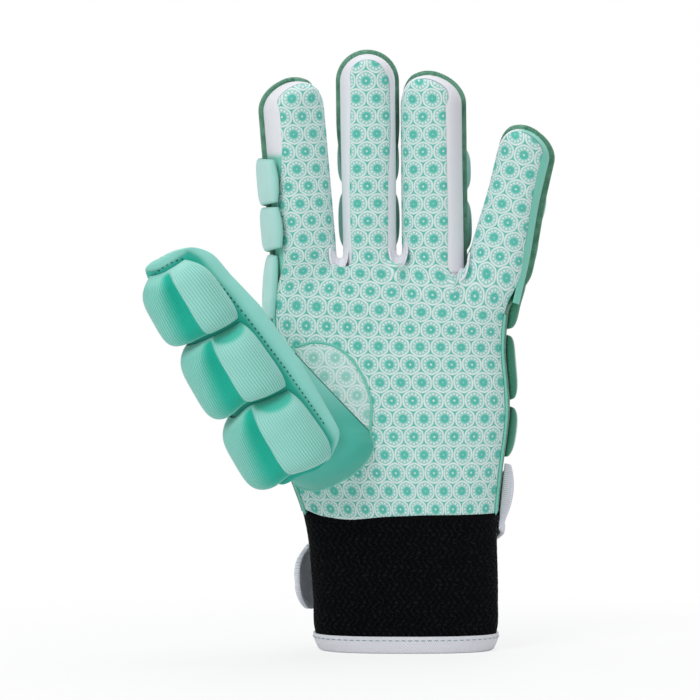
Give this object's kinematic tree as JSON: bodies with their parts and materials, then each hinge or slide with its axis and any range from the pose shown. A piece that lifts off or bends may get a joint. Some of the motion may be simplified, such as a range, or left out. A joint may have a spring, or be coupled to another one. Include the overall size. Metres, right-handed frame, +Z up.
{
  "type": "field hockey glove",
  "caption": "Padded left-hand indoor field hockey glove: printed palm, knit back, segmented foam pads, jointed fingers, guarded thumb, elastic cuff and wrist strap.",
  "frame": {"origin": "on the surface it stands on, under the middle of the glove's bounding box; that surface is the flat lower rim of the cuff's binding", "axes": "+X to the little finger's side, +Y from the palm to the back of the hand, +Z up along the fingers; the palm faces -Y"},
  "size_m": [0.161, 0.0944, 0.2416],
  "materials": {
    "print_fabric": "matte stretch fabric with a raised pale print",
    "mint_fabric": "matte stretch fabric",
    "foam_cover": "fine ribbed stretch cover over foam",
    "back_knit": "melange knit",
    "white_stretch": "smooth white stretch fabric",
    "elastic": "ribbed black elastic",
    "strap": "smooth white laminated strap with bound edges",
    "loop": "brushed loop pile"
  },
  "bodies": {
    "hand": {"web_index_middle": "white_stretch", "web_middle_ring": "white_stretch", "web_ring_little": "white_stretch", "palm_panel": "print_fabric", "back_panel": "back_knit", "cuff_elastic": "elastic", "cuff_binding": "white_stretch", "knuckle_pad_index": "foam_cover", "knuckle_pad_middle": "foam_cover", "knuckle_pad_ring": "foam_cover", "knuckle_pad_little": "foam_cover", "back_pad_outer": "foam_cover", "back_pad_inner": "foam_cover", "wrist_pad": "foam_cover", "thumb_web": "print_fabric", "thumb_gusset": "mint_fabric", "guard_plate_lower": "mint_fabric", "guard_block_lower": "foam_cover", "loop_patch": "loop"},
    "index_base": {"index_base_front": "print_fabric", "index_base_back": "back_knit", "index_base_side_wall": "white_stretch", "index_base_pad": "foam_cover"},
    "index_tip": {"index_tip_front": "print_fabric", "index_tip_back": "back_knit", "index_tip_side_wall": "white_stretch", "index_tip_pad": "foam_cover"},
    "middle_base": {"middle_base_front": "print_fabric", "middle_base_back": "back_knit", "middle_base_inner_wall": "white_stretch", "middle_base_outer_wall": "white_stretch", "middle_base_pad": "foam_cover"},
    "middle_tip": {"middle_tip_front": "print_fabric", "middle_tip_back": "back_knit", "middle_tip_side_wall": "white_stretch", "middle_tip_pad": "foam_cover"},
    "ring_base": {"ring_base_front": "print_fabric", "ring_base_back": "back_knit", "ring_base_inner_wall": "white_stretch", "ring_base_outer_wall": "white_stretch", "ring_base_pad": "foam_cover"},
    "ring_tip": {"ring_tip_front": "print_fabric", "ring_tip_back": "back_knit", "ring_tip_side_wall": "white_stretch", "ring_tip_pad": "foam_cover"},
    "little_base": {"little_base_front": "print_fabric", "little_base_back": "back_knit", "little_base_side_wall": "white_stretch", "little_base_pad": "foam_cover"},
    "little_tip": {"little_tip_front": "print_fabric", "little_tip_back": "back_knit", "little_tip_side_wall": "white_stretch", "little_tip_pad": "foam_cover"},
    "thumb_middle": {"thumb_stall_middle": "print_fabric", "guard_plate_middle": "mint_fabric", "guard_block_middle": "foam_cover"},
    "thumb_tip": {"thumb_stall_tip": "print_fabric", "guard_plate_tip": "mint_fabric", "guard_block_tip": "foam_cover"},
    "strap": {"wrist_strap": "strap"}
  },
  "joints": [
    {"name": "index_knuckle_flex", "type": "hinge", "parent": "hand", "child": "index_base", "pos_m": [-0.01934, 0.00834, 0.1615], "axis": [0.9966, 0, 0.0819], "range_deg": [0, 65], "stiffness_Nm_per_rad": 0.05},
    {"name": "index_mid_joint_flex", "type": "hinge", "parent": "index_base", "child": "index_tip", "pos_m": [-0.02086, 0.00829, 0.17994], "axis": [0.9966, 0, 0.0819], "range_deg": [0, 70], "stiffness_Nm_per_rad": 0.05},
    {"name": "middle_knuckle_flex", "type": "hinge", "parent": "hand", "child": "middle_base", "pos_m": [0.00686, 0.00864, 0.161], "axis": [0.9999, 0, 0.014], "range_deg": [0, 65], "stiffness_Nm_per_rad": 0.05},
    {"name": "middle_mid_joint_flex", "type": "hinge", "parent": "middle_base", "child": "middle_tip", "pos_m": [0.0065, 0.00856, 0.187], "axis": [0.9999, 0, 0.014], "range_deg": [0, 70], "stiffness_Nm_per_rad": 0.05},
    {"name": "ring_knuckle_flex", "type": "hinge", "parent": "hand", "child": "ring_base", "pos_m": [0.03246, 0.00852, 0.1595], "axis": [0.9999, 0, 0.014], "range_deg": [0, 65], "stiffness_Nm_per_rad": 0.05},
    {"name": "ring_mid_joint_flex", "type": "hinge", "parent": "ring_base", "child": "ring_tip", "pos_m": [0.03212, 0.00841, 0.1835], "axis": [0.9999, 0, 0.014], "range_deg": [0, 70], "stiffness_Nm_per_rad": 0.05},
    {"name": "little_knuckle_flex", "type": "hinge", "parent": "hand", "child": "little_base", "pos_m": [0.05866, 0.00941, 0.1555], "axis": [0.9744, 0, -0.225], "range_deg": [0, 65], "stiffness_Nm_per_rad": 0.05},
    {"name": "little_mid_joint_flex", "type": "hinge", "parent": "little_base", "child": "little_tip", "pos_m": [0.06271, 0.00943, 0.17304], "axis": [0.9744, 0, -0.225], "range_deg": [0, 70], "stiffness_Nm_per_rad": 0.05},
    {"name": "thumb_root_flex", "type": "hinge", "parent": "hand", "child": "thumb_middle", "pos_m": [-0.03489, 0.00261, 0.11252], "axis": [-0.8382, 0.3051, -0.4519], "range_deg": [0, 20], "stiffness_Nm_per_rad": 0.12},
    {"name": "thumb_tip_flex", "type": "hinge", "parent": "thumb_middle", "child": "thumb_tip", "pos_m": [-0.05143, -0.00636, 0.13699], "axis": [-0.8374, 0.3048, -0.4536], "range_deg": [0, 35], "stiffness_Nm_per_rad": 0.12},
    {"name": "strap_peel", "type": "hinge", "parent": "hand", "child": "strap", "pos_m": [0.06127, 0.0188, 0.062], "axis": [-0.0845, 0.0005, -0.9964], "range_deg": [0, 110]}
  ]
}
